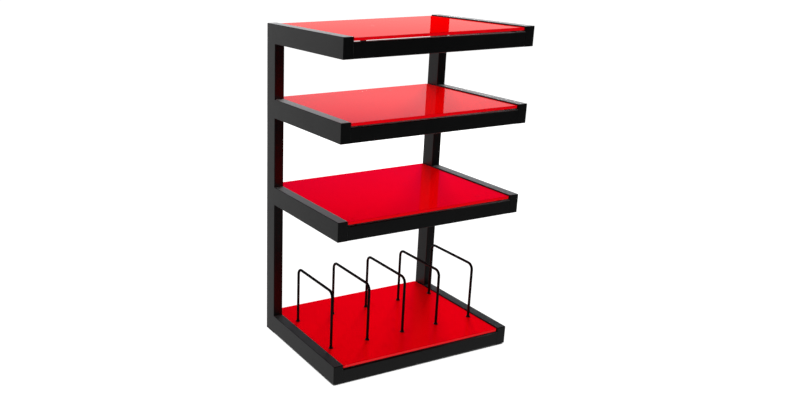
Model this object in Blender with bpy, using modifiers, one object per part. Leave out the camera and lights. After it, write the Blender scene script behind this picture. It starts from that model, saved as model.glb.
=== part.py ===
"""Four-tier audio and record rack: two open-fronted steel side frames, cross bars and glass shelves.

Metres, +Z up, +X to the rack's right as seen from the front, front facing -Y.
The origin is on the floor, under the centre of the rack.
"""

import math

import bmesh
import bpy
from mathutils import Vector

# Overall size
WIDTH = 0.600
DEPTH = 0.418
HEIGHT = 0.950
GAP = 0.0003  # left between pieces that touch

# Steel box section
WALL = 0.0015
CORNER_RADIUS = 0.0025
CORNER_STEPS = 3
POST_DEPTH = 0.050
ARM_WIDTH = 0.030
ARM_HEIGHT = 0.055
BAR_DEPTH = 0.020
BAR_HEIGHT = 0.041

# Feet
FOOT_THICKNESS = 0.0025
PLUG_HEIGHT = 0.014
PLUG_CLEARANCE = 0.0007
FOOT_CHAMFER = 0.0006
GLIDE_RADIUS = 0.011
GLIDE_CHAMFER = 0.0005
GLIDE_STEPS = 32
GLIDE_INSET = 0.020

# Shelves
GLASS_THICKNESS = 0.008
GLASS_DROP = 0.003  # arm top down to glass top
GLASS_FRONT_INSET = 0.003
GLASS_SIDE_GAP = 0.0012
GLASS_CORNER_RADIUS = 0.004
GLASS_CORNER_STEPS = 4
GLASS_CHAMFER = 0.0008
PAD_RADIUS = 0.0075
PAD_STEPS = 24
PAD_SIDE_INSET = 0.032  # arm's inner face to pad centre
PAD_CHAMFER = 0.0004

# Record dividers
DIVIDER_COUNT = 5
DIVIDER_PITCH = 0.123
DIVIDER_LEG_Y = 0.100
DIVIDER_TOP = 0.174  # glass top to the wire's centre line
DIVIDER_BEND = 0.018
WIRE_RADIUS = 0.004
WIRE_RESOLUTION = 2
BEND_STEPS = 6

# Bushes that hold the divider legs in the bottom glass
BUSH_HOLE_RADIUS = 0.0058
BUSH_FLANGE_RADIUS = 0.0068
BUSH_FLANGE_RIM = 0.0010
BUSH_NECK_RADIUS = 0.0052
BUSH_HEIGHT = 0.0042
BUSH_SLEEVE_DEPTH = 0.0075
BUSH_FLOOR = 0.0010
BUSH_STEPS = 20
BUSH_MERGE = 0.00001

# Colours and roughness
BLACK_STEEL = ((0.012, 0.012, 0.013), 0.42)
RED_GLASS = ((0.72, 0.0, 0.012), 0.05)
BLACK_WIRE = ((0.008, 0.008, 0.009), 0.38)
PAD_RUBBER = ((0.03, 0.03, 0.032), 0.60)
FOOT_PLASTIC = ((0.02, 0.02, 0.02), 0.55)
BUSH_PLASTIC = ((0.015, 0.015, 0.015), 0.50)

# Mesh tests
SAME_DIRECTION = 0.9  # least cosine between two directions taken as one
SHARP_ANGLE = math.radians(40)

# Levels and planes that follow from them
FRAME_BASE = FOOT_THICKNESS + GAP
ARM_TOPS = {
    "top": HEIGHT,
    "upper": 0.738,
    "middle": 0.4755,
    "bottom": FRAME_BASE + ARM_HEIGHT,
}
FRONT = -DEPTH / 2
REAR = DEPTH / 2
INNER_HALF_WIDTH = WIDTH / 2 - ARM_WIDTH
PAD_THICKNESS = ARM_HEIGHT - GLASS_DROP - GLASS_THICKNESS - BAR_HEIGHT - 2 * GAP
BORE_RADIUS = WIRE_RADIUS + GAP
SIDES = {"left": -1, "right": 1}
BAR_PLACES = {"front": FRONT + BAR_DEPTH / 2, "rear": REAR - BAR_DEPTH / 2}


def clear_scene():
    for obj in list(bpy.data.objects):
        bpy.data.objects.remove(obj, do_unlink=True)


def new_collection(name):
    collection = bpy.data.collections.new(name)
    bpy.context.scene.collection.children.link(collection)
    return collection


def make_material(name, finish):
    colour, roughness = finish
    material = bpy.data.materials.new(name)
    material.use_nodes = True
    shader = material.node_tree.nodes["Principled BSDF"]
    shader.inputs["Base Color"].default_value = (*colour, 1.0)
    shader.inputs["Roughness"].default_value = roughness
    return material


def place(name, data, location, material, collection, parent=None):
    """A named object at a world location, kept there when it has a parent."""
    obj = bpy.data.objects.new(name, data)
    obj.location = location
    if parent is not None:
        obj.parent = parent
        obj.location = Vector(location) - parent.location
    if material is not None:
        obj.data.materials.append(material)
    collection.objects.link(obj)
    return obj


def mesh_from(bm, name, smooth=False):
    mesh = bpy.data.meshes.new(name)
    bmesh.ops.recalc_face_normals(bm, faces=bm.faces)
    bm.to_mesh(mesh)
    bm.free()
    if smooth:
        mesh.shade_smooth()
        mesh.set_sharp_from_angle(angle=SHARP_ANGLE)
    return mesh


def cube(size):
    bm = bmesh.new()
    bmesh.ops.create_cube(bm, size=1.0)
    bmesh.ops.scale(bm, vec=Vector(size), verts=bm.verts)
    return bm


def add_bevel(obj, width, segments):
    bevel = obj.modifiers.new("round_edges", "BEVEL")
    bevel.width = width
    bevel.segments = segments
    bevel.limit_method = "ANGLE"


def faces_towards(bm, directions):
    bm.normal_update()
    wanted = [Vector(direction) for direction in directions]
    return [
        face for face in bm.faces if any(face.normal.dot(way) > SAME_DIRECTION for way in wanted)
    ]


def box_section_mesh(name, size, open_ends):
    """The outer skin of a box section, without the end faces whose normals are in open_ends."""
    bm = cube(size)
    opened = faces_towards(bm, open_ends)
    bmesh.ops.delete(bm, geom=opened, context="FACES_ONLY")
    return mesh_from(bm, name)


def add_box_section(name, size, open_ends, location, material, collection):
    """A hollow tube with rounded corners; an end that isn't open has a welded plate, ground flush."""
    tube = place(name, box_section_mesh(name, size, open_ends), location, material, collection)
    add_bevel(tube, CORNER_RADIUS, CORNER_STEPS)
    wall = tube.modifiers.new("tube_wall", "SOLIDIFY")
    wall.thickness = WALL
    wall.offset = -1.0
    wall.use_even_offset = True


def add_posts(material, collection):
    height = HEIGHT - FRAME_BASE
    for side, sign in SIDES.items():
        location = (
            sign * (WIDTH - ARM_WIDTH) / 2,
            REAR - POST_DEPTH / 2,
            FRAME_BASE + height / 2,
        )
        size = (ARM_WIDTH, POST_DEPTH, height)
        add_box_section(f"{side}_post", size, [(0, 0, -1)], location, material, collection)


def add_arms(material, collection):
    length = DEPTH - POST_DEPTH - GAP
    for side, sign in SIDES.items():
        for tier, top in ARM_TOPS.items():
            location = (
                sign * (WIDTH - ARM_WIDTH) / 2,
                FRONT + length / 2,
                top - ARM_HEIGHT / 2,
            )
            size = (ARM_WIDTH, length, ARM_HEIGHT)
            name = f"{side}_arm_{tier}"
            add_box_section(name, size, [(0, 1, 0)], location, material, collection)


def add_bars(material, collection):
    length = 2 * (INNER_HALF_WIDTH - GAP)
    for place_name, y in BAR_PLACES.items():
        for tier, top in ARM_TOPS.items():
            location = (0, y, top - ARM_HEIGHT + BAR_HEIGHT / 2)
            size = (length, BAR_DEPTH, BAR_HEIGHT)
            name = f"{place_name}_bar_{tier}"
            ends = [(-1, 0, 0), (1, 0, 0)]
            add_box_section(name, size, ends, location, material, collection)


def post_foot_mesh():
    """A plug for the post's open lower end: a flat foot with a smaller block standing on it."""
    bm = cube((ARM_WIDTH, POST_DEPTH, FOOT_THICKNESS))
    top = faces_towards(bm, [(0, 0, 1)])
    bmesh.ops.inset_region(bm, faces=top, thickness=WALL + PLUG_CLEARANCE, use_even_offset=True)
    raised = bmesh.ops.extrude_face_region(bm, geom=top)
    risen = [item for item in raised["geom"] if isinstance(item, bmesh.types.BMVert)]
    bmesh.ops.delete(bm, geom=top, context="FACES_ONLY")
    bmesh.ops.translate(bm, verts=risen, vec=(0, 0, PLUG_HEIGHT))
    return mesh_from(bm, "post_foot")


def disc_mesh(name, radius, height, chamfer, segments):
    bm = bmesh.new()
    bmesh.ops.create_cone(
        bm,
        cap_ends=True,
        segments=segments,
        radius1=radius,
        radius2=radius,
        depth=height,
    )
    rims = [edge for edge in bm.edges if abs(edge.verts[0].co.z - edge.verts[1].co.z) < chamfer]
    bmesh.ops.bevel(bm, geom=rims, offset=chamfer, segments=1, affect="EDGES")
    return mesh_from(bm, name, smooth=True)


def add_feet(material, collection):
    foot = post_foot_mesh()
    glide = disc_mesh("front_glide", GLIDE_RADIUS, FOOT_THICKNESS, GLIDE_CHAMFER, GLIDE_STEPS)
    for side, sign in SIDES.items():
        x = sign * (WIDTH - ARM_WIDTH) / 2
        at_post = (x, REAR - POST_DEPTH / 2, FOOT_THICKNESS / 2)
        at_front = (x, FRONT + GLIDE_INSET, FOOT_THICKNESS / 2)
        plug = place(f"{side}_post_foot", foot.copy(), at_post, material, collection)
        add_bevel(plug, FOOT_CHAMFER, 1)
        place(f"{side}_front_glide", glide.copy(), at_front, material, collection)


def add_pads(material, collection):
    """Four pads for each shelf, stuck to the cross bars under its corners."""
    pad = disc_mesh("pad", PAD_RADIUS, PAD_THICKNESS, PAD_CHAMFER, PAD_STEPS)
    for tier, top in ARM_TOPS.items():
        z = top - ARM_HEIGHT + BAR_HEIGHT + GAP + PAD_THICKNESS / 2
        for place_name, y in BAR_PLACES.items():
            for side, sign in SIDES.items():
                x = sign * (INNER_HALF_WIDTH - PAD_SIDE_INSET)
                name = f"pad_{tier}_{place_name}_{side}"
                place(name, pad.copy(), (x, y, z), material, collection)


def glass_mesh(name):
    """A plate with small round corners in plan."""
    size = (
        2 * (INNER_HALF_WIDTH - GLASS_SIDE_GAP),
        DEPTH - GLASS_FRONT_INSET,
        GLASS_THICKNESS,
    )
    bm = cube(size)
    upright = [edge for edge in bm.edges if edge.verts[0].co.z * edge.verts[1].co.z < 0]
    bmesh.ops.bevel(
        bm,
        geom=upright,
        offset=GLASS_CORNER_RADIUS,
        segments=GLASS_CORNER_STEPS,
        affect="EDGES",
    )
    return mesh_from(bm, name, smooth=True)


def divider_places():
    middle = (DIVIDER_COUNT - 1) / 2
    return [(number - middle) * DIVIDER_PITCH for number in range(DIVIDER_COUNT)]


def drill_bush_holes(glass, cutters):
    """One cutter with a drill for each divider leg."""
    bm = bmesh.new()
    for x in divider_places():
        for y in (-DIVIDER_LEG_Y, DIVIDER_LEG_Y):
            made = bmesh.ops.create_cone(
                bm,
                cap_ends=True,
                segments=BUSH_STEPS,
                radius1=BUSH_HOLE_RADIUS,
                radius2=BUSH_HOLE_RADIUS,
                depth=3 * GLASS_THICKNESS,
            )
            bmesh.ops.translate(bm, verts=made["verts"], vec=(x, y, 0))
    level = (0, 0, glass.location.z)
    drills = place("bush_hole_cutter", mesh_from(bm, "bush_hole_cutter"), level, None, cutters)
    drills.hide_render = True
    drills.display_type = "WIRE"
    cut = glass.modifiers.new("bush_holes", "BOOLEAN")
    cut.operation = "DIFFERENCE"
    cut.object = drills


def add_shelves(material, collection, cutters):
    shelves = {}
    for tier, top in ARM_TOPS.items():
        name = f"shelf_{tier}"
        location = (0, GLASS_FRONT_INSET / 2, top - GLASS_DROP - GLASS_THICKNESS / 2)
        shelf = place(name, glass_mesh(name), location, material, collection)
        add_bevel(shelf, GLASS_CHAMFER, 1)
        shelves[tier] = shelf
    drill_bush_holes(shelves["bottom"], cutters)
    return shelves


def bush_mesh():
    """Half section of a flanged bush with a closed floor, from its bore round to its underside.

    Height 0 is the top of the glass.
    """
    sleeve_radius = BUSH_HOLE_RADIUS - GAP
    profile = [
        (0, BUSH_FLOOR - BUSH_SLEEVE_DEPTH),
        (BORE_RADIUS, BUSH_FLOOR - BUSH_SLEEVE_DEPTH),
        (BORE_RADIUS, BUSH_HEIGHT),
        (BUSH_NECK_RADIUS, BUSH_HEIGHT),
        (BUSH_FLANGE_RADIUS, GAP + BUSH_FLANGE_RIM),
        (BUSH_FLANGE_RADIUS, GAP),
        (sleeve_radius, GAP),
        (sleeve_radius, -BUSH_SLEEVE_DEPTH),
        (0, -BUSH_SLEEVE_DEPTH),
    ]
    bm = bmesh.new()
    points = [bm.verts.new((radius, 0, z)) for radius, z in profile]
    for first, second in zip(points, points[1:]):
        bm.edges.new((first, second))
    mesh = bpy.data.meshes.new("divider_bush")
    bm.to_mesh(mesh)
    bm.free()
    return mesh


def add_bushes(shelf, material, collection):
    section = bush_mesh()
    glass_top = shelf.location.z + GLASS_THICKNESS / 2
    for number, x in enumerate(divider_places(), start=1):
        for place_name, y in (("front", -DIVIDER_LEG_Y), ("rear", DIVIDER_LEG_Y)):
            name = f"divider_bush_{number}_{place_name}"
            location = (x, y, glass_top)
            bush = place(name, section.copy(), location, material, collection, shelf)
            turn = bush.modifiers.new("turn", "SCREW")
            turn.axis = "Z"
            turn.steps = BUSH_STEPS
            turn.render_steps = BUSH_STEPS
            turn.use_merge_vertices = True
            turn.merge_threshold = BUSH_MERGE
            turn.use_smooth_shade = False


def divider_route():
    """Centre line of one wire divider in its own Y-Z plane, from the front leg's end to the rear's."""
    foot = BUSH_FLOOR - BUSH_SLEEVE_DEPTH + GAP
    bend_y = DIVIDER_LEG_Y - DIVIDER_BEND
    bend_z = DIVIDER_TOP - DIVIDER_BEND
    route = [(-DIVIDER_LEG_Y, foot)]
    for sign, start in ((-1, math.pi), (1, math.pi / 2)):
        for step in range(BEND_STEPS + 1):
            angle = start - step / BEND_STEPS * math.pi / 2
            y = sign * bend_y + DIVIDER_BEND * math.cos(angle)
            z = bend_z + DIVIDER_BEND * math.sin(angle)
            route.append((y, z))
    route.append((DIVIDER_LEG_Y, foot))
    return route


def divider_curve(name):
    curve = bpy.data.curves.new(name, "CURVE")
    curve.dimensions = "3D"
    curve.bevel_depth = WIRE_RADIUS
    curve.bevel_resolution = WIRE_RESOLUTION
    curve.use_fill_caps = True
    route = divider_route()
    spline = curve.splines.new("POLY")
    spline.points.add(len(route) - 1)
    for point, (y, z) in zip(spline.points, route):
        point.co = (0, y, z, 1)
    return curve


def add_dividers(shelf, material, collection):
    glass_top = shelf.location.z + GLASS_THICKNESS / 2
    for number, x in enumerate(divider_places(), start=1):
        name = f"divider_{number}"
        place(name, divider_curve(name), (x, 0, glass_top), material, collection, shelf)


def main():
    clear_scene()
    rack = new_collection("audio_rack")
    cutters = new_collection("cutters")
    black_steel = make_material("black_powder_coat", BLACK_STEEL)
    red_glass = make_material("red_glass", RED_GLASS)
    black_wire = make_material("black_wire", BLACK_WIRE)
    pad_rubber = make_material("pad_rubber", PAD_RUBBER)
    foot_plastic = make_material("foot_plastic", FOOT_PLASTIC)
    bush_plastic = make_material("bush_plastic", BUSH_PLASTIC)
    add_posts(black_steel, rack)
    add_arms(black_steel, rack)
    add_bars(black_steel, rack)
    add_feet(foot_plastic, rack)
    add_pads(pad_rubber, rack)
    shelves = add_shelves(red_glass, rack, cutters)
    add_bushes(shelves["bottom"], bush_plastic, rack)
    add_dividers(shelves["bottom"], black_wire, rack)


main()
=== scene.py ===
"""Looks of the four-tier audio and record rack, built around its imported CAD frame.

Metres, +Z up, +X to the rack's right as seen from the front, front facing -Y.
"""

import math

import bmesh
import bpy
from mathutils import Matrix, Vector


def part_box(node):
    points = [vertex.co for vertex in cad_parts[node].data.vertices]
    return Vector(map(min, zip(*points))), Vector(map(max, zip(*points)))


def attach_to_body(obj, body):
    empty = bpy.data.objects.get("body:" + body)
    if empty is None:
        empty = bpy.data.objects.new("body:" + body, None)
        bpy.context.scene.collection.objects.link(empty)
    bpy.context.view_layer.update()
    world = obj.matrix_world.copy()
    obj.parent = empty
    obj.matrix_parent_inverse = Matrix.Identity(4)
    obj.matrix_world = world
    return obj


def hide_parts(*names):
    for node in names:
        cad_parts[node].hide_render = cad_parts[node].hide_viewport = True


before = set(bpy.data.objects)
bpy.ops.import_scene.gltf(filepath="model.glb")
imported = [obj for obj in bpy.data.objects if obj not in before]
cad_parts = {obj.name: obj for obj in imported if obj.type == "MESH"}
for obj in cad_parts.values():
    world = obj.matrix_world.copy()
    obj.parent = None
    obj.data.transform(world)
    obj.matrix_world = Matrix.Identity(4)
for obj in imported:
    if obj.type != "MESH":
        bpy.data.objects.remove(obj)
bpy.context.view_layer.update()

SIDES = ("left", "right")
TIERS = ("top", "upper", "middle", "bottom")
PLACES = ("front", "rear")
DIVIDERS = (1, 2, 3, 4, 5)

# Frame
TUBE_RADIUS = 0.0025
TUBE_STEPS = 6
ROUND_PROFILE = 0.5
WELD_RADIUS = 0.0016
WELD_STEPS = 4
BAR_END_GAP = 0.00008

# Glass
GLASS_CORNER = 0.004
GLASS_CORNER_STEPS = 8
ARRIS = 0.0008
HOLE_STEPS = 40
MERGE_DISTANCE = 0.00001

# Round parts
LATHE_STEPS = 48
RIM_STEPS = 4
PAD_ROUND = 0.0005
PAD_DISH = 0.0002
GLIDE_ROUND = 0.0008

# Divider bushes: shares are of the flange's radius, and heights are above the glass
BUSH_NECK_SHARE = 0.765
BUSH_HOLE_SHARE = 0.853
CLEARANCE = 0.0003
FLANGE_UNDERSIDE = 0.00025
FLANGE_RIM_LOW = 0.0006
FLANGE_RIM_HIGH = 0.0009
FLANGE_TOP = 0.0014
COLLAR_SLOPE_END = 0.0007  # below the bush's top
WIDE_EDGE = 0.0004
MEDIUM_EDGE = 0.0003
FINE_EDGE = 0.0002
BORE_FLOOR = 0.001  # above the bush's underside

# Dividers
WIRE_STEPS = 20
WIRE_CHAMFER_SHARE = 0.25
BEND_RADIUS = 0.018
BEND_STEPS = 14

# Shading: creases in degrees, and how near to an axis a flat's normal is
TUBE_CREASE = 35.0
TURNED_CREASE = 35.0
GLASS_CREASE = 50.0
WIRE_CREASE = 50.0
FLAT = 0.9999

# The largest part of a normal, on a box section's flat and on its rounded edge
EDGE_SPAN = (0.99, 0.80)

# Colours
COAT_DARK = (0.0010, 0.0011, 0.0012)
COAT_LIGHT = (0.0018, 0.0019, 0.0021)
COAT_RUBBED = (0.0034, 0.0035, 0.0038)
GLASS_DARK = (0.85, 0.0, 0.004)
GLASS_LIGHT = (0.90, 0.0, 0.006)
WIRE_DARK = (0.0008, 0.0008, 0.0009)
WIRE_LIGHT = (0.0014, 0.0014, 0.0015)
RUBBER_DARK = (0.010, 0.010, 0.011)
RUBBER_LIGHT = (0.018, 0.018, 0.019)
BUSH_DARK = (0.004, 0.004, 0.004)
BUSH_LIGHT = (0.008, 0.008, 0.008)
FOOT_DARK = (0.002, 0.002, 0.002)
FOOT_LIGHT = (0.004, 0.004, 0.004)
PURE_RED = (1.0, 0.0, 0.0, 1.0)
WHITE = (1.0, 1.0, 1.0, 1.0)
BLACK = (0.0, 0.0, 0.0, 1.0)
FLOOR_GREY = (0.16, 0.16, 0.16, 1.0)

# Most of a noise texture's values lie in this span
NOISE_SPAN = (0.3, 0.7)

# How much less rough the coat is where it's rubbed
RUBBED_SMOOTHER = 0.05

# Camera, from a perspective fit to the rack's straight edges: degrees, and lens and sensor in millimetres
CAMERA_PLACE = (-1.3807, -1.9837, 1.1767)
CAMERA_AZIMUTH = -24.785
CAMERA_ELEVATION = 17.922
CAMERA_ROLL = -0.341
CAMERA_LENS = 37.88
CAMERA_SENSOR = 36.0
CAMERA_SHIFT = (0.1918, 0.0143)
CLIP_START = 0.05
CLIP_END = 100.0

# Floor: it glows white, with a painted contact shadow under the rack; the shadow span is its openness to
# the sky, from fully dark to fully white
FLOOR_HALF = 40.0
FLOOR_LEVEL = -0.0003
PAINTED_SHADOW_REACH = 0.03
PAINTED_SHADOW_SAMPLES = 8
PAINTED_SHADOW_SPAN = (0.30, 0.48)

# Soft light behind the rack, aimed at its middle
LIGHT_PLACE = (2.1, 2.55, 1.35)
LIGHT_AIM = (0.1, 0.0, 0.45)
LIGHT_SIZE = (1.1, 1.3)
LIGHT_POWER = 125.0

# Black flag behind the rack, turned about +Z in degrees; seen only in reflections, it paints a dark band
# in the red glass
FLAG_PLACE = (1.95, 2.35, 1.65)
FLAG_SIZE = (0.115, 0.02, 1.5)
FLAG_TURN = -37.5

# The studio's front half gives way to its rear half while a direction's y goes from minus to plus this
REAR_BLEND = 0.25


def grey(level):
    return (level, level, level)


# What shiny faces mirror, against the sine of the height above the horizon
MIRRORED_BEHIND = (
    (-1.0, grey(0.04)),
    (0.0, grey(0.52)),
    (0.08, (1.0, 0.98, 0.93)),
    (0.105, (0.62, 0.61, 0.60)),
    (0.174, (0.62, 0.64, 0.68)),
    (0.25, (0.01, 0.01, 0.15)),
    (0.31, (0.0, 0.0, 0.06)),
    (0.50, grey(0.0)),
)
MIRRORED_IN_FRONT = (
    (-1.0, grey(0.30)),
    (-0.47, grey(0.36)),
    (-0.40, grey(0.15)),
    (-0.33, grey(0.03)),
    (0.0, grey(0.0)),
)

# What lights matt faces, against the same sine
SOFT_BEHIND = (
    (0.0, grey(1.1)),
    (0.30, grey(1.65)),
    (0.65, grey(0.0)),
)
SOFT_IN_FRONT = (
    (0.0, grey(0.30)),
    (0.30, grey(0.90)),
    (0.65, grey(0.45)),
    (1.0, grey(0.3)),
)


# ------------------------------------------------------------------ helpers


def link(obj):
    bpy.context.scene.collection.objects.link(obj)
    return obj


def mesh_object(name, bm, material, crease=None):
    """An object from a bmesh: smooth, or creased past an angle in degrees and flat on its flats."""
    bmesh.ops.recalc_face_normals(bm, faces=bm.faces)
    mesh = bpy.data.meshes.new(name)
    bm.to_mesh(mesh)
    bm.free()
    mesh.materials.append(material)
    mesh.shade_smooth()
    if crease is not None:
        mesh.set_sharp_from_angle(angle=math.radians(crease))
        for face in mesh.polygons:
            face.use_smooth = max(abs(part) for part in face.normal) < FLAT
    return link(bpy.data.objects.new(name, mesh))


def keep_flats_flat(obj):
    weighted = obj.modifiers.new("flat_faces", "WEIGHTED_NORMAL")
    weighted.weight = 100
    weighted.keep_sharp = True


def round_edges(obj, radius, steps):
    bevel = obj.modifiers.new("round_edges", "BEVEL")
    bevel.width = radius
    bevel.segments = steps
    bevel.limit_method = "ANGLE"
    bevel.angle_limit = math.radians(TUBE_CREASE)
    bevel.harden_normals = False
    keep_flats_flat(obj)


def box_mesh(size):
    """A box of the given size about the origin."""
    bm = bmesh.new()
    bmesh.ops.create_cube(bm, size=1.0)
    bmesh.ops.scale(bm, vec=size, verts=bm.verts)
    return bm


def attach(piece, body, slot, *nodes):
    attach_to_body(piece, body)
    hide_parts(*nodes)
    return piece


def axis_of(low, high):
    """The x and y of an upright part's middle line, as a place on the floor."""
    return ((low.x + high.x) / 2, (low.y + high.y) / 2, 0)


def turns(steps):
    """Angles that go once round in equal steps."""
    return [2 * math.pi * step / steps for step in range(steps)]


def skin(bm, rings, steps):
    """Faces between each ring of points and the next."""
    for near, far in zip(rings, rings[1:]):
        for step in range(steps):
            after = (step + 1) % steps
            bm.faces.new((near[step], near[after], far[after], far[step]))


# ---------------------------------------------------------------- materials


class Graph:
    """Short calls for building a node tree."""

    def __init__(self, tree):
        self.tree = tree

    def add(self, kind, **values):
        node = self.tree.nodes.new(kind)
        for key, value in values.items():
            setattr(node, key, value)
        return node

    def join(self, source, target):
        self.tree.links.new(source, target)

    def fill(self, node, values):
        """Give a node's inputs, by name or number, their plain values or the sockets that drive them."""
        for name, value in values.items():
            if isinstance(value, bpy.types.NodeSocket):
                self.join(value, node.inputs[name])
            else:
                node.inputs[name].default_value = value

    def noise(self, coordinates, scale, detail=4.0, roughness=0.5):
        node = self.add("ShaderNodeTexNoise")
        self.fill(node, {"Vector": coordinates, "Scale": scale, "Detail": detail, "Roughness": roughness})
        return node.outputs["Fac"]

    def span(self, value, source, target):
        """A value carried from one span of numbers to another, and held at its ends."""
        node = self.add("ShaderNodeMapRange")
        self.fill(node, {"Value": value, "From Min": source[0], "From Max": source[1]})
        self.fill(node, {"To Min": target[0], "To Max": target[1]})
        return node.outputs["Result"]

    def math(self, operation, *values):
        node = self.add("ShaderNodeMath", operation=operation)
        self.fill(node, dict(enumerate(values)))
        return node.outputs[0]

    def blend(self, share, first, second):
        """Colour from first to second, each a colour or a socket."""
        node = self.add("ShaderNodeMix", data_type="RGBA")
        self.join(share, node.inputs[0])
        for socket, value in ((node.inputs[6], first), (node.inputs[7], second)):
            if isinstance(value, tuple):
                socket.default_value = (*value, 1.0)
            else:
                self.join(value, socket)
        return node.outputs[2]

    def bump(self, height, strength, distance):
        node = self.add("ShaderNodeBump")
        self.fill(node, {"Height": height, "Strength": strength, "Distance": distance})
        return node.outputs["Normal"]

    def ramp(self, value, stops):
        """Colour against a value from -1 to 1."""
        node = self.add("ShaderNodeValToRGB")
        elements = node.color_ramp.elements
        while len(elements) > 1:
            elements.remove(elements[-1])
        for number, (height, colour) in enumerate(stops):
            place = (height + 1) / 2
            element = elements[0] if number == 0 else elements.new(place)
            element.position = place
            element.color = (*colour, 1.0)
        self.join(self.span(value, (-1.0, 1.0), (0.0, 1.0)), node.inputs["Fac"])
        return node.outputs["Color"]


def new_material(name):
    """A material with its graph, its shader, and the piece's own coordinates and normal."""
    material = bpy.data.materials.new(name)
    material.use_nodes = True
    graph = Graph(material.node_tree)
    shader = material.node_tree.nodes["Principled BSDF"]
    place = graph.add("ShaderNodeTexCoord")
    return material, graph, shader, place.outputs["Object"], place.outputs["Normal"]


def edge_share(graph, normal):
    """1 on the rounded edges of a box section and 0 on its flats."""
    parts = graph.add("ShaderNodeSeparateXYZ")
    graph.join(normal, parts.inputs[0])
    sizes = [graph.math("ABSOLUTE", parts.outputs[i]) for i in range(3)]
    largest = graph.math("MAXIMUM", graph.math("MAXIMUM", sizes[0], sizes[1]), sizes[2])
    return graph.span(largest, EDGE_SPAN, (0.0, 1.0))


def powder_coat():
    """Satin black powder coat: fine orange peel, patchy sheen, a little rubbed on the edges."""
    material, graph, shader, place, normal = new_material("black_powder_coat_fine")
    peel = graph.noise(place, scale=900.0, detail=3.0, roughness=0.55)
    patch = graph.noise(place, scale=14.0, detail=5.0, roughness=0.6)
    grain = graph.noise(place, scale=2600.0, detail=2.0)
    edge = edge_share(graph, normal)
    rubbed = graph.math("MULTIPLY", edge, graph.span(patch, (0.4, 0.7), (0.2, 1.0)))
    tone = graph.blend(patch, COAT_DARK, COAT_LIGHT)
    patchy = graph.span(patch, NOISE_SPAN, (0.31, 0.37))
    grainy = graph.span(grain, NOISE_SPAN, (-0.015, 0.015))
    unrubbed = graph.math("ADD", patchy, grainy)
    graph.fill(shader, {
        "Base Color": graph.blend(rubbed, tone, COAT_RUBBED),
        "Roughness": graph.math("SUBTRACT", unrubbed, graph.math("MULTIPLY", rubbed, RUBBED_SMOOTHER)),
        "Normal": graph.bump(peel, strength=0.10, distance=0.0004),
        "Sheen Weight": graph.span(edge, (0.0, 1.0), (0.46, 0.06)),
        "Sheen Roughness": 0.3,
        "IOR": 1.44,
    })
    return material


def red_glass():
    """Polished float glass, lacquered red on its underside."""
    material, graph, shader, place, _ = new_material("red_lacquered_glass")
    cloud = graph.noise(place, scale=5.0, detail=3.0)
    smear = graph.noise(place, scale=38.0, detail=5.0, roughness=0.65)
    dust = graph.noise(place, scale=1700.0, detail=2.0)
    smeared = graph.span(smear, (0.45, 0.75), (0.012, 0.030))
    dusty = graph.span(dust, (0.62, 0.75), (0.0, 0.02))
    graph.fill(shader, {
        "Base Color": graph.blend(cloud, GLASS_DARK, GLASS_LIGHT),
        "Roughness": graph.math("ADD", smeared, dusty),
        "Normal": graph.bump(cloud, strength=0.02, distance=0.0006),
        "Sheen Weight": 1.0,
        "Sheen Roughness": 0.45,
        "Sheen Tint": PURE_RED,
        "IOR": 1.52,
    })
    return material


def black_wire():
    """Drawn steel wire under satin black, with a faint grain."""
    material, graph, shader, place, _ = new_material("black_coated_wire")
    patch = graph.noise(place, scale=25.0, detail=3.0)
    grain = graph.noise(place, scale=2200.0, detail=3.0)
    graph.fill(shader, {
        "Base Color": graph.blend(patch, WIRE_DARK, WIRE_LIGHT),
        "Roughness": graph.span(patch, NOISE_SPAN, (0.42, 0.46)),
        "Normal": graph.bump(grain, strength=0.12, distance=0.0002),
        "IOR": 1.25,
    })
    return material


def moulded(name, dark, light, roughness, scale, shine=0.5):
    """Fine-textured moulded rubber or plastic."""
    material, graph, shader, place, _ = new_material(name)
    grain = graph.noise(place, scale, detail=4.0, roughness=0.6)
    patch = graph.noise(place, scale=90.0, detail=3.0)
    graph.fill(shader, {
        "Base Color": graph.blend(patch, dark, light),
        "Roughness": graph.span(grain, NOISE_SPAN, (roughness - 0.06, roughness + 0.06)),
        "Normal": graph.bump(grain, strength=0.25, distance=0.0002),
        "Specular IOR Level": shine,
    })
    return material


# ------------------------------------------------------------------- pieces


def side_outline(side):
    """The side frame's outline in (y, z): a post and four arms, with welds filling the inner corners."""
    low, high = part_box(f"{side}_post")
    arms = [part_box(f"{side}_arm_{tier}") for tier in TIERS]
    front = arms[0][0].y
    post_front = low.y
    outline = [(high.y, low.z), (high.y, high.z), (front, high.z)]
    for number, (arm_low, arm_high) in enumerate(arms):
        if number:
            outline += corner_fillet((post_front, arm_high.z), above=True)
            outline.append((front, arm_high.z))
        outline.append((front, arm_low.z))
        if number < len(arms) - 1:
            outline += corner_fillet((post_front, arm_low.z), above=False)
    return outline


def corner_fillet(corner, above):
    """Points of a small concave weld where an arm meets the post, in the outline's own order."""
    y, z = corner
    rise = 1 if above else -1
    centre = (y - WELD_RADIUS, z + rise * WELD_RADIUS)
    points = []
    for step in range(WELD_STEPS + 1):
        angle = step / WELD_STEPS * math.pi / 2
        points.append(
            (
                centre[0] + WELD_RADIUS * math.sin(angle),
                centre[1] - rise * WELD_RADIUS * math.cos(angle),
            )
        )
    return points[::-1] if above else points


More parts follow.
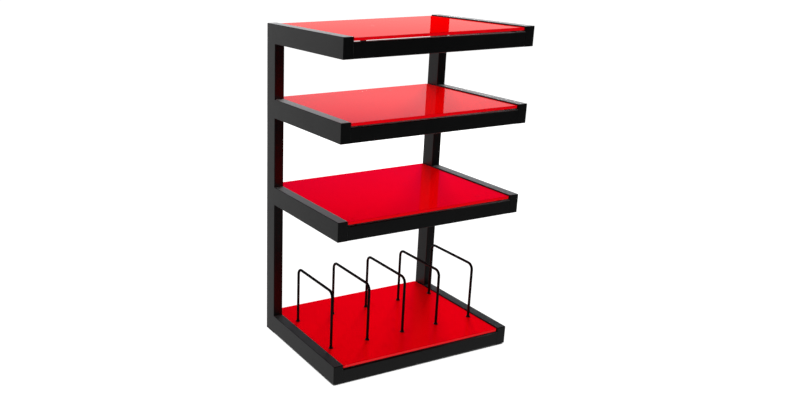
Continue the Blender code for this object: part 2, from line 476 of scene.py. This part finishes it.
def make_side_frame(side, coat):
    """A post and its four arms as one welded frame, from its outline."""
    low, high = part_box(f"{side}_post")
    bm = bmesh.new()
    face = bm.faces.new([bm.verts.new((low.x, y, z)) for y, z in side_outline(side)])
    pulled = bmesh.ops.extrude_face_region(bm, geom=[face])
    moved = [item for item in pulled["geom"] if isinstance(item, bmesh.types.BMVert)]
    bmesh.ops.translate(bm, verts=moved, vec=(high.x - low.x, 0, 0))
    side_frame = mesh_object(f"{side}_side_frame", bm, coat)
    round_edges(side_frame, TUBE_RADIUS, TUBE_STEPS)
    nodes = [f"{side}_post"] + [f"{side}_arm_{tier}" for tier in TIERS]
    return attach(side_frame, "frame", "frame", *nodes)


def make_bar(place, tier, coat):
    """A cross bar whose ends meet the arms' inner faces."""
    node = f"{place}_bar_{tier}"
    low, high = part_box(node)
    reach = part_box(f"right_arm_{tier}")[0].x - BAR_END_GAP
    bm = box_mesh((2 * reach, high.y - low.y, high.z - low.z))
    bmesh.ops.translate(bm, vec=(0, (low.y + high.y) / 2, (low.z + high.z) / 2), verts=bm.verts)
    long_edges = [edge for edge in bm.edges if abs(edge.verts[0].co.x - edge.verts[1].co.x) > reach]
    bmesh.ops.bevel(
        bm,
        geom=long_edges,
        offset=TUBE_RADIUS,
        segments=TUBE_STEPS,
        profile=ROUND_PROFILE,
        affect="EDGES",
    )
    bar = mesh_object(f"{node}_tube", bm, coat)
    keep_flats_flat(bar)
    return attach(bar, "frame", "frame", node)


def rounded_rectangle(low, high, radius, steps):
    points = []
    for corner, (sx, sy) in enumerate(((1, -1), (1, 1), (-1, 1), (-1, -1))):
        centre = Vector(
            (
                (high.x if sx > 0 else low.x) - sx * radius,
                (high.y if sy > 0 else low.y) - sy * radius,
            )
        )
        for step in range(steps + 1):
            angle = math.radians(-90 + 90 * corner + 90 * step / steps)
            points.append(centre + radius * Vector((math.cos(angle), math.sin(angle))))
    return points


def circle(centre, radius, steps):
    x, y, _ = centre
    return [Vector((x + radius * math.cos(turn), y + radius * math.sin(turn))) for turn in turns(steps)]


def filled_plate(name, outlines, thickness):
    """A plate about z = 0 with arrised edges, filled between its outer outline and its holes."""
    curve = bpy.data.curves.new(name, "CURVE")
    curve.dimensions = "2D"
    curve.fill_mode = "BOTH"
    curve.bevel_depth = ARRIS
    curve.bevel_resolution = 1
    curve.extrude = thickness / 2 - ARRIS
    for outline in outlines:
        spline = curve.splines.new("POLY")
        spline.points.add(len(outline) - 1)
        for point, (x, y) in zip(spline.points, outline):
            point.co = (x, y, 0, 1)
        spline.use_cyclic_u = True
    shape = link(bpy.data.objects.new(name, curve))
    bpy.context.view_layer.update()
    mesh = bpy.data.meshes.new_from_object(shape.evaluated_get(bpy.context.evaluated_depsgraph_get()))
    bpy.data.objects.remove(shape)
    bm = bmesh.new()
    bm.from_mesh(mesh)
    bpy.data.meshes.remove(mesh)
    bmesh.ops.remove_doubles(bm, verts=bm.verts, dist=MERGE_DISTANCE)
    return bm


def make_glass(tier, glass, holes=()):
    """A glass plate with ground corners, arrised edges and drilled holes."""
    node = f"shelf_{tier}"
    low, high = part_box(node)
    inset = Vector((ARRIS, ARRIS, 0))
    outlines = [rounded_rectangle(low + inset, high - inset, GLASS_CORNER - ARRIS, GLASS_CORNER_STEPS)]
    outlines += [circle(centre, radius + ARRIS, HOLE_STEPS) for centre, radius in holes]
    bm = filled_plate(f"{node}_outline", outlines, high.z - low.z)
    bmesh.ops.translate(bm, vec=(0, 0, (low.z + high.z) / 2), verts=bm.verts)
    plate = mesh_object(f"{node}_glass", bm, glass, GLASS_CREASE)
    return attach(plate, f"{tier}_shelf", "shelf_glass", node)


def lathe(profile, steps):
    """A closed solid turned about Z from (radius, z) points; the first and last lie on the axis."""
    bm = bmesh.new()
    first = bm.verts.new((0, 0, profile[0][1]))
    last = bm.verts.new((0, 0, profile[-1][1]))
    rings = [
        [bm.verts.new((radius * math.cos(turn), radius * math.sin(turn), z)) for turn in turns(steps)]
        for radius, z in profile[1:-1]
    ]
    for step in range(steps):
        after = (step + 1) % steps
        bm.faces.new((first, rings[0][after], rings[0][step]))
        bm.faces.new((last, rings[-1][step], rings[-1][after]))
    skin(bm, rings, steps)
    return bm


def soft_disc(radius, low, high, edge, dish):
    """Profile of a disc with rounded rims, from the middle of its underside to the middle of its top."""
    profile = [(0, low + dish)]
    for sign, z in ((-1, low + edge), (1, high - edge)):
        for step in range(RIM_STEPS + 1):
            share = step / RIM_STEPS
            angle = math.radians(90 * (share if sign > 0 else 1 - share))
            profile.append((radius - edge + edge * math.cos(angle), z + sign * edge * math.sin(angle)))
    profile.append((0, high - dish))
    return profile


def turned_piece(name, profile, centre, material):
    bm = lathe(profile, LATHE_STEPS)
    bmesh.ops.translate(bm, vec=centre, verts=bm.verts)
    return mesh_object(name, bm, material, TURNED_CREASE)


def make_disc(node, name, slot, material, edge, dish=0.0):
    """A pad or glide of the frame: a round disc with soft rims."""
    low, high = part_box(node)
    profile = soft_disc((high.x - low.x) / 2, low.z, high.z, edge, dish)
    return attach(turned_piece(name, profile, axis_of(low, high), material), "frame", slot, node)


def bush_name(number, place):
    return f"divider_bush_{number}_{place}"


def make_bush(number, place, material):
    """A small stepped collar that holds a divider leg in the bottom glass."""
    node = bush_name(number, place)
    low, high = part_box(node)
    glass_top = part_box("shelf_bottom")[1].z
    flange = (high.x - low.x) / 2
    neck = flange * BUSH_NECK_SHARE
    sleeve = flange * BUSH_HOLE_SHARE - CLEARANCE
    wire_low, wire_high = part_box(f"divider_{number}")
    bore = (wire_high.x - wire_low.x) / 2 + CLEARANCE
    floor = low.z + BORE_FLOOR
    profile = [
        (0, low.z),
        (sleeve - WIDE_EDGE, low.z),
        (sleeve, low.z + WIDE_EDGE),
        (sleeve, glass_top + FLANGE_UNDERSIDE),
        (flange - MEDIUM_EDGE, glass_top + FLANGE_UNDERSIDE),
        (flange, glass_top + FLANGE_RIM_LOW),
        (flange, glass_top + FLANGE_RIM_HIGH),
        (flange - WIDE_EDGE, glass_top + FLANGE_TOP),
        (neck + WIDE_EDGE, high.z - COLLAR_SLOPE_END),
        (neck, high.z - FINE_EDGE),
        (neck - MEDIUM_EDGE, high.z),
        (bore + FINE_EDGE, high.z),
        (bore, high.z - FINE_EDGE),
        (bore, floor),
        (0, floor),
    ]
    collar = turned_piece(f"{node}_collar", profile, axis_of(low, high), material)
    return attach(collar, "bottom_shelf", "bush", node)


def bush_holes():
    """Centre and radius of each hole that is drilled in the bottom glass."""
    holes = []
    for number in DIVIDERS:
        for place in PLACES:
            low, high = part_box(bush_name(number, place))
            holes.append((axis_of(low, high), (high.x - low.x) / 2 * BUSH_HOLE_SHARE))
    return holes


def divider_route(low, high, radius):
    """The wire's centre line in (y, z), from the front leg's end to the rear leg's end."""
    front, rear, top = low.y + radius, high.y - radius, high.z - radius
    route = [(front, low.z)]
    for centre_y, start in ((front + BEND_RADIUS, 180), (rear - BEND_RADIUS, 90)):
        for step in range(BEND_STEPS + 1):
            angle = math.radians(start - 90 * step / BEND_STEPS)
            route.append(
                (
                    centre_y + BEND_RADIUS * math.cos(angle),
                    top - BEND_RADIUS + BEND_RADIUS * math.sin(angle),
                )
            )
    route.append((rear, low.z))
    return route


def wire_ring(bm, x, point, flat, radius):
    """A ring of the wire at a (y, z) point of its route, square to the route's direction there."""
    across = Vector((1, 0, 0))
    up = Vector((0, flat.x, flat.y)).cross(across)
    centre = Vector((x, *point))
    return [
        bm.verts.new(centre + radius * (math.cos(turn) * across + math.sin(turn) * up))
        for turn in turns(WIRE_STEPS)
    ]


def make_divider(number, material):
    """A round wire bent into an upside-down U, with broken ends."""
    node = f"divider_{number}"
    low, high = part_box(node)
    radius = (high.x - low.x) / 2
    x = (low.x + high.x) / 2
    chamfer = radius * WIRE_CHAMFER_SHARE
    points = [Vector(point) for point in divider_route(low, high, radius)]
    last = len(points) - 1
    bm = bmesh.new()
    rings = []
    for index, point in enumerate(points):
        before = points[max(index - 1, 0)]
        after = points[min(index + 1, last)]
        flat = (after - before).normalized()
        if index == 0:
            rings.append(wire_ring(bm, x, point, flat, radius - chamfer))
            rings.append(wire_ring(bm, x, point + flat * chamfer, flat, radius))
        elif index == last:
            rings.append(wire_ring(bm, x, point - flat * chamfer, flat, radius))
            rings.append(wire_ring(bm, x, point, flat, radius - chamfer))
        else:
            rings.append(wire_ring(bm, x, point, flat, radius))
    skin(bm, rings, WIRE_STEPS)
    bm.faces.new(rings[0][::-1])
    bm.faces.new(rings[-1])
    wire = mesh_object(f"{node}_wire", bm, material, WIRE_CREASE)
    return attach(wire, node, "divider", node)


def make_pieces():
    coat = powder_coat()
    glass = red_glass()
    wire = black_wire()
    rubber = moulded("pad_rubber_fine", RUBBER_DARK, RUBBER_LIGHT, roughness=0.55, scale=1500.0)
    bush_plastic = moulded("bush_plastic_fine", BUSH_DARK, BUSH_LIGHT, roughness=0.42, scale=1800.0)
    foot_plastic = moulded(
        "foot_plastic_fine", FOOT_DARK, FOOT_LIGHT, roughness=0.6, scale=1300.0, shine=0.1
    )
    for side in SIDES:
        make_side_frame(side, coat)
        make_disc(f"{side}_front_glide", f"{side}_glide", "foot", foot_plastic, GLIDE_ROUND)
        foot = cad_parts[f"{side}_post_foot"]
        foot.data.materials.clear()
        foot.data.materials.append(foot_plastic)
    for tier in TIERS:
        for place in PLACES:
            make_bar(place, tier, coat)
            for side in SIDES:
                node = f"pad_{tier}_{place}_{side}"
                make_disc(node, f"{node}_disc", "pad", rubber, PAD_ROUND, PAD_DISH)
        make_glass(tier, glass, bush_holes() if tier == "bottom" else ())
    for number in DIVIDERS:
        make_divider(number, wire)
        for place in PLACES:
            make_bush(number, place, bush_plastic)


# ------------------------------------------------------------------- studio


def make_world():
    """A studio all round that differs for the camera, for mirrored rays and for soft light."""
    world = bpy.data.worlds.new("studio")
    world.use_nodes = True
    bpy.context.scene.world = world
    world.cycles.sampling_method = "NONE"
    graph = Graph(world.node_tree)
    background = world.node_tree.nodes["Background"]
    way = graph.add("ShaderNodeTexCoord").outputs["Generated"]
    parts = graph.add("ShaderNodeSeparateXYZ")
    graph.join(way, parts.inputs[0])
    height = parts.outputs["Z"]
    to_rear = graph.span(parts.outputs["Y"], (-REAR_BLEND, REAR_BLEND), (0.0, 1.0))
    mirrored, soft = (
        graph.blend(to_rear, graph.ramp(height, in_front), graph.ramp(height, behind))
        for in_front, behind in ((MIRRORED_IN_FRONT, MIRRORED_BEHIND), (SOFT_IN_FRONT, SOFT_BEHIND))
    )
    rays = graph.add("ShaderNodeLightPath")
    lit = graph.blend(rays.outputs["Is Glossy Ray"], soft, mirrored)
    seen = graph.blend(rays.outputs["Is Camera Ray"], lit, grey(1.0))
    graph.join(seen, background.inputs["Color"])


def make_floor():
    """A white glowing floor with a painted contact shadow: its glow darkens only in the narrow gap under
    the rack.
    """
    material, graph, shader, _, _ = new_material("pale_floor_painted_shadow")
    openness = graph.add("ShaderNodeAmbientOcclusion", samples=PAINTED_SHADOW_SAMPLES)
    openness.inputs["Distance"].default_value = PAINTED_SHADOW_REACH
    graph.fill(shader, {
        "Base Color": FLOOR_GREY,
        "Roughness": 0.9,
        "Specular IOR Level": 0.0,
        "Emission Color": WHITE,
        # Painted contact shadow: the glow fades where the floor is shut in under the rack
        "Emission Strength": graph.span(openness.outputs["AO"], PAINTED_SHADOW_SPAN, (0.0, 1.0)),
    })
    bm = bmesh.new()
    corners = [(-1, -1), (1, -1), (1, 1), (-1, 1)]
    bm.faces.new([bm.verts.new((x * FLOOR_HALF, y * FLOOR_HALF, FLOOR_LEVEL)) for x, y in corners])
    floor = mesh_object("studio_floor", bm, material)
    floor.visible_glossy = False


def make_light():
    """A soft light that brightens matt faces and isn't mirrored in shiny ones."""
    light = bpy.data.lights.new("rear_soft_box", "AREA")
    light.shape = "RECTANGLE"
    light.size, light.size_y = LIGHT_SIZE
    light.energy = LIGHT_POWER
    lamp = link(bpy.data.objects.new("rear_soft_box", light))
    lamp.location = LIGHT_PLACE
    lamp.rotation_euler = (Vector(LIGHT_AIM) - Vector(LIGHT_PLACE)).to_track_quat("-Z", "Y").to_euler()
    lamp.visible_glossy = False
    lamp.visible_camera = False


def make_flag():
    """A black studio flag behind the rack, seen only as a reflection: it paints a dark reflected band in
    the red glass.
    """
    material, graph, shader, _, _ = new_material("flag_black")
    graph.fill(shader, {"Base Color": BLACK, "Specular IOR Level": 0.0})
    flag = mesh_object("studio_flag", box_mesh(FLAG_SIZE), material)
    flag.location = FLAG_PLACE
    flag.rotation_euler = (0, 0, math.radians(FLAG_TURN))
    # Painted reflection: hidden from the camera, soft light and shadows, the flag shows only as a dark
    # band in the glass
    flag.visible_camera = False
    flag.visible_diffuse = False
    flag.visible_shadow = False


def make_camera():
    azimuth = math.radians(CAMERA_AZIMUTH)
    elevation = math.radians(CAMERA_ELEVATION)
    roll = math.radians(CAMERA_ROLL)
    back = Vector(
        (
            math.sin(azimuth) * math.cos(elevation),
            -math.cos(azimuth) * math.cos(elevation),
            math.sin(elevation),
        )
    )
    level_right = Vector((0, 0, 1)).cross(back).normalized()
    level_up = back.cross(level_right)
    right = math.cos(roll) * level_right + math.sin(roll) * level_up
    up = -math.sin(roll) * level_right + math.cos(roll) * level_up
    data = bpy.data.cameras.new("photo_camera")
    data.sensor_fit = "HORIZONTAL"
    data.sensor_width = CAMERA_SENSOR
    data.lens = CAMERA_LENS
    data.shift_x, data.shift_y = CAMERA_SHIFT
    data.clip_start = CLIP_START
    data.clip_end = CLIP_END
    camera = link(bpy.data.objects.new("photo_camera", data))
    turn = Matrix((right, up, back)).transposed().to_4x4()
    camera.matrix_world = Matrix.Translation(CAMERA_PLACE) @ turn
    bpy.context.scene.camera = camera


bpy.context.scene.view_settings.view_transform = "Standard"
bpy.context.scene.view_settings.look = "None"
make_camera()
make_pieces()
make_world()
make_floor()
make_light()
make_flag()
bpy.context.view_layer.update()
